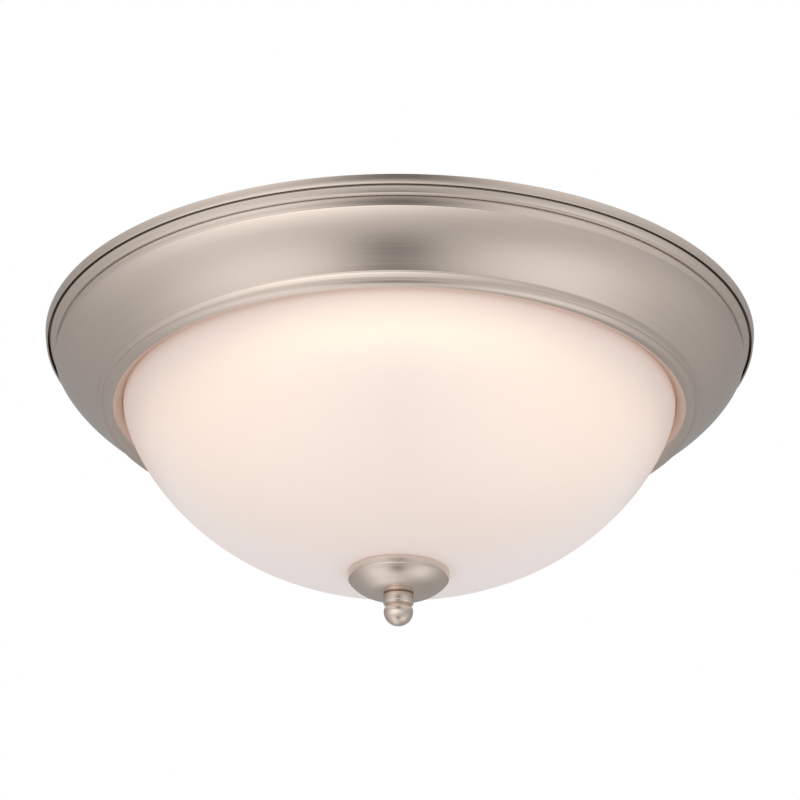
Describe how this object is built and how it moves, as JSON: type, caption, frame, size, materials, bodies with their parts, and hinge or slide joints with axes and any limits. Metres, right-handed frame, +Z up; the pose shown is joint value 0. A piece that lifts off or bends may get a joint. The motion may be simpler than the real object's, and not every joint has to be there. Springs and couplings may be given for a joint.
{
  "type": "flush ceiling light",
  "caption": "Round flush ceiling light: moulded satin metal pan, opal glass bowl held by a cap and knob on a central rod, and lamp sockets inside.",
  "frame": {"origin": "centre of the fixture on the plane of the ceiling, midway between the strap's two slots", "axes": "+Z up into the ceiling along the rod, X along the strap and through both lamps, -Y towards the camera"},
  "size_m": [0.33, 0.33, 0.136],
  "materials": {
    "satin_nickel": "satin nickel plate, fine brushing round the axis",
    "zinc_steel": "bright zinc plate",
    "white_steel": "white powder coat",
    "earth_green": "green earth screw",
    "fibre": "matted glass fibre",
    "socket_white": "glazed white",
    "shell_brass": "plain brass",
    "black_plastic": "black moulding",
    "lead_black": "black vinyl",
    "lead_white": "white vinyl",
    "bare_copper": "bare copper",
    "nut_orange": "orange moulding",
    "nut_yellow": "yellow moulding",
    "nut_green": "green moulding",
    "bulb_frost": "frosted dome",
    "board_white": "white faced board",
    "bulb_white": "smooth white",
    "bulb_aluminium": "bright",
    "opal_glass": "opal glass, satin etched",
    "clear_rubber": "soft natural rubber"
  },
  "bodies": {
    "bracket": {"mounting_strap": "zinc_steel", "hanging_screws": "zinc_steel", "earth_screw": "earth_green"},
    "pan": {"ceiling_pan": "satin_nickel", "insulation_pad": "fibre", "center_rod": "zinc_steel", "rod_top_nut": "zinc_steel", "rod_bottom_nut": "zinc_steel", "rod_spring_washer": "zinc_steel", "lamp_bracket": "white_steel", "socket_screws": "zinc_steel", "socket_right": "socket_white", "socket_left": "socket_white", "screw_shell_right": "shell_brass", "screw_shell_left": "shell_brass", "spring_contact_right": "shell_brass", "spring_contact_left": "shell_brass", "wire_bushings": "black_plastic", "black_leads": "lead_black", "white_leads": "lead_white", "earth_lead": "bare_copper", "pan_earth_screw": "earth_green", "black_wire_nut": "nut_orange", "white_wire_nut": "nut_yellow", "earth_wire_nut": "nut_green"},
    "bowl": {"glass_bowl": "opal_glass", "bowl_grommet": "clear_rubber"},
    "cap": {"finial_cap": "satin_nickel"},
    "knob": {"finial_knob": "satin_nickel"},
    "bulb_right": {"bulb_dome_right": "bulb_frost", "bulb_board_right": "board_white", "bulb_housing_right": "bulb_white", "bulb_base_right": "bulb_aluminium", "bulb_insulator_right": "black_plastic", "bulb_button_right": "bulb_aluminium"},
    "bulb_left": {"bulb_dome_left": "bulb_frost", "bulb_board_left": "board_white", "bulb_housing_left": "bulb_white", "bulb_base_left": "bulb_aluminium", "bulb_insulator_left": "black_plastic", "bulb_button_left": "bulb_aluminium"}
  },
  "joints": [
    {"name": "pan_twist", "type": "hinge", "parent": "bracket", "child": "pan", "pos_m": [0, 0, 0], "axis": [0, 0, -1], "range_deg": [0, 12]},
    {"name": "bulb_right_turn", "type": "hinge", "parent": "pan", "child": "bulb_right", "pos_m": [0.06211, 0, -0.057], "axis": [0.8372, -0.547, 0], "range_deg": [0, 1800]},
    {"name": "bulb_left_turn", "type": "hinge", "parent": "pan", "child": "bulb_left", "pos_m": [-0.06211, 0, -0.057], "axis": [-0.8372, 0.547, 0], "range_deg": [0, 1800]},
    {"name": "bowl_lift_off", "type": "slide", "parent": "pan", "child": "bowl", "axis": [0, 0, -1], "range_m": [0, 0.12]},
    {"name": "cap_travel", "type": "slide", "parent": "bowl", "child": "cap", "axis": [0, 0, -1], "range_m": [0, 0.008]},
    {"name": "knob_turn", "type": "hinge", "parent": "cap", "child": "knob", "pos_m": [0, 0, -0.125], "axis": [0, 0, -1], "range_deg": [0, 3065]}
  ],
  "couplings": [
    {"joint": "knob_turn", "follows": "cap_travel", "rad_per_m": 6678.9}
  ]
}
